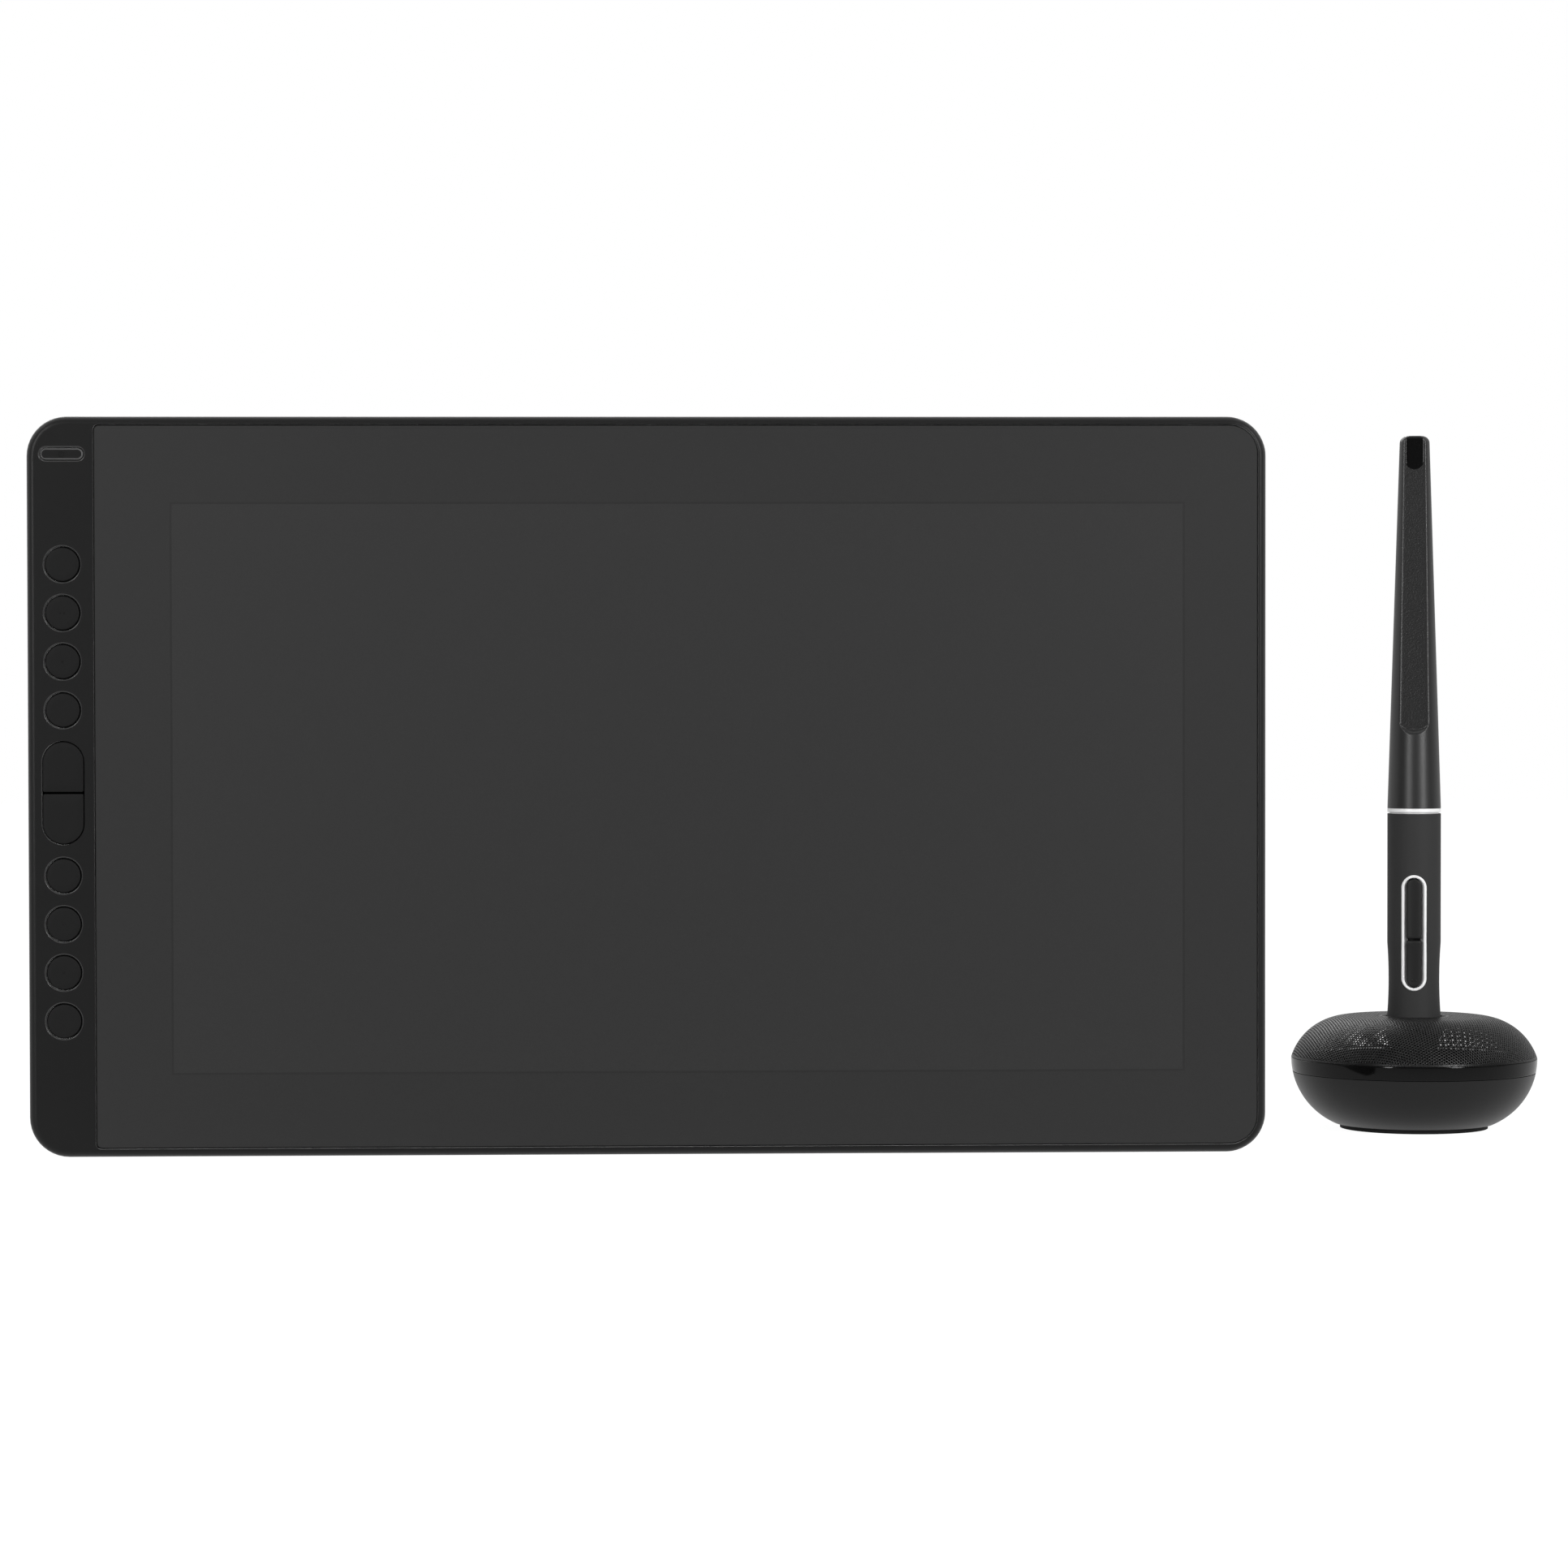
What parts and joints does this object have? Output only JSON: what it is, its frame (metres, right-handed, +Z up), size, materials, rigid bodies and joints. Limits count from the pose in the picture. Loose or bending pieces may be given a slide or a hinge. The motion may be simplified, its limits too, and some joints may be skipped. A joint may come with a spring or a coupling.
{
  "type": "graphics tablet with screen",
  "caption": "Pen display with a key strip beside its screen, its digital pen, and a round weighted pen holder.",
  "frame": {"origin": "centre of the bounding box on the surface that the tablet's lower edge and the pen holder stand on", "axes": "+X along the tablet's long side from the key strip to the pen holder, +Y from the screen to the back, +Z up"},
  "size_m": [0.4526, 0.1096, 0.2145],
  "materials": {
    "housing": "fine moulded texture, satin black",
    "cover_glass": "etched anti-glare glass with a black printed border",
    "adhesive": "black foam tape",
    "display": "polarised cell, dark when off",
    "backlight": "pressed sheet",
    "circuit_board": "solder mask",
    "shield": "satin sheet",
    "mid_frame": "pressed and blasted",
    "connector": "plated shell",
    "flex": "amber film",
    "switch_dome": "spring steel",
    "key": "fine matt black",
    "rubber_foot": "matt",
    "screw": "black plated",
    "pen_body": "satin black",
    "pen_gloss": "polished black",
    "bright_trim": "polished plating",
    "pen_grip": "soft matt silicone",
    "pen_button": "satin black",
    "nib": "hard felt-like polymer",
    "coil": "enamelled copper on ferrite",
    "stand_mesh": "perforated and black coated",
    "stand_band": "piano black",
    "stand_bowl": "satin black",
    "weight": "as cast",
    "tray": "matt black"
  },
  "bodies": {
    "root": {"front_frame": "housing", "cover_glass": "cover_glass", "glass_adhesive": "adhesive", "lcd_panel": "display", "backlight_unit": "backlight", "digitizer_board": "circuit_board", "shield_plate": "shield", "mid_frame": "mid_frame", "main_board": "circuit_board", "port_board": "circuit_board", "usb_c_sockets": "connector", "key_board": "circuit_board", "dome_switches": "switch_dome", "display_flex": "flex", "digitizer_flex": "flex", "key_flex": "flex", "rear_cover": "housing", "rubber_feet": "rubber_foot", "cover_screws": "screw", "stand_foot": "rubber_foot", "stand_bowl": "stand_bowl", "stand_weight": "weight", "nib_tray": "tray", "spare_nibs": "nib", "nib_puller": "screw"},
    "key_1": {"round_key_1": "key"},
    "key_2": {"round_key_2": "key"},
    "key_3": {"round_key_3": "key"},
    "key_4": {"round_key_4": "key"},
    "key_5": {"round_key_5": "key"},
    "key_6": {"round_key_6": "key"},
    "key_7": {"round_key_7": "key"},
    "key_8": {"round_key_8": "key"},
    "pill_upper": {"pill_key_upper": "key"},
    "pill_lower": {"pill_key_lower": "key"},
    "power": {"power_button": "key"},
    "band": {"stand_band": "stand_band"},
    "lid": {"stand_mesh_top": "stand_mesh", "pen_socket": "tray"},
    "pen": {"pen_barrel": "pen_body", "pen_end_insert": "pen_gloss", "pen_ring": "bright_trim", "pen_grip": "pen_grip", "button_bezel": "bright_trim", "pen_nose": "pen_body", "pen_chassis": "tray", "pen_board": "circuit_board", "pressure_sensor": "connector", "pen_coil": "coil"},
    "pen_button_upper": {"side_button_upper": "pen_button"},
    "pen_button_lower": {"side_button_lower": "pen_button"},
    "nib": {"pen_nib": "nib"}
  },
  "joints": [
    {"name": "key_1_press", "type": "slide", "parent": "root", "child": "key_1", "axis": [0, 1, 0], "range_m": [0, 0.0006], "stiffness_N_per_m": 700, "springref_m": -0.0003},
    {"name": "key_2_press", "type": "slide", "parent": "root", "child": "key_2", "axis": [0, 1, 0], "range_m": [0, 0.0006], "stiffness_N_per_m": 700, "springref_m": -0.0003},
    {"name": "key_3_press", "type": "slide", "parent": "root", "child": "key_3", "axis": [0, 1, 0], "range_m": [0, 0.0006], "stiffness_N_per_m": 700, "springref_m": -0.0003},
    {"name": "key_4_press", "type": "slide", "parent": "root", "child": "key_4", "axis": [0, 1, 0], "range_m": [0, 0.0006], "stiffness_N_per_m": 700, "springref_m": -0.0003},
    {"name": "key_5_press", "type": "slide", "parent": "root", "child": "key_5", "axis": [0, 1, 0], "range_m": [0, 0.0006], "stiffness_N_per_m": 700, "springref_m": -0.0003},
    {"name": "key_6_press", "type": "slide", "parent": "root", "child": "key_6", "axis": [0, 1, 0], "range_m": [0, 0.0006], "stiffness_N_per_m": 700, "springref_m": -0.0003},
    {"name": "key_7_press", "type": "slide", "parent": "root", "child": "key_7", "axis": [0, 1, 0], "range_m": [0, 0.0006], "stiffness_N_per_m": 700, "springref_m": -0.0003},
    {"name": "key_8_press", "type": "slide", "parent": "root", "child": "key_8", "axis": [0, 1, 0], "range_m": [0, 0.0006], "stiffness_N_per_m": 700, "springref_m": -0.0003},
    {"name": "pill_upper_press", "type": "slide", "parent": "root", "child": "pill_upper", "axis": [0, 1, 0], "range_m": [0, 0.0006], "stiffness_N_per_m": 700, "springref_m": -0.0003},
    {"name": "pill_lower_press", "type": "slide", "parent": "root", "child": "pill_lower", "axis": [0, 1, 0], "range_m": [0, 0.0006], "stiffness_N_per_m": 700, "springref_m": -0.0003},
    {"name": "power_press", "type": "slide", "parent": "root", "child": "power", "axis": [0, 1, 0], "range_m": [0, 0.0006], "stiffness_N_per_m": 700, "springref_m": -0.0003},
    {"name": "band_twist", "type": "hinge", "parent": "root", "child": "band", "pos_m": [0.18875, 0.0172, 0], "axis": [0, 0, 1], "range_deg": [0, 25]},
    {"name": "lid_lift", "type": "slide", "parent": "root", "child": "lid", "axis": [0, 0, 1], "range_m": [0, 0.03]},
    {"name": "pen_lift", "type": "slide", "parent": "lid", "child": "pen", "axis": [0, 0, 1], "range_m": [0, 0.03]},
    {"name": "pen_button_upper_press", "type": "slide", "parent": "pen", "child": "pen_button_upper", "axis": [0.1685, 0.9857, 0], "range_m": [0, 0.0003], "stiffness_N_per_m": 1500, "springref_m": -0.0003},
    {"name": "pen_button_lower_press", "type": "slide", "parent": "pen", "child": "pen_button_lower", "axis": [0.1685, 0.9857, 0], "range_m": [0, 0.0003], "stiffness_N_per_m": 1500, "springref_m": -0.0003},
    {"name": "nib_press", "type": "slide", "parent": "pen", "child": "nib", "axis": [0, 0, 1], "range_m": [0, 0.0003], "stiffness_N_per_m": 3000, "springref_m": -0.0001}
  ]
}
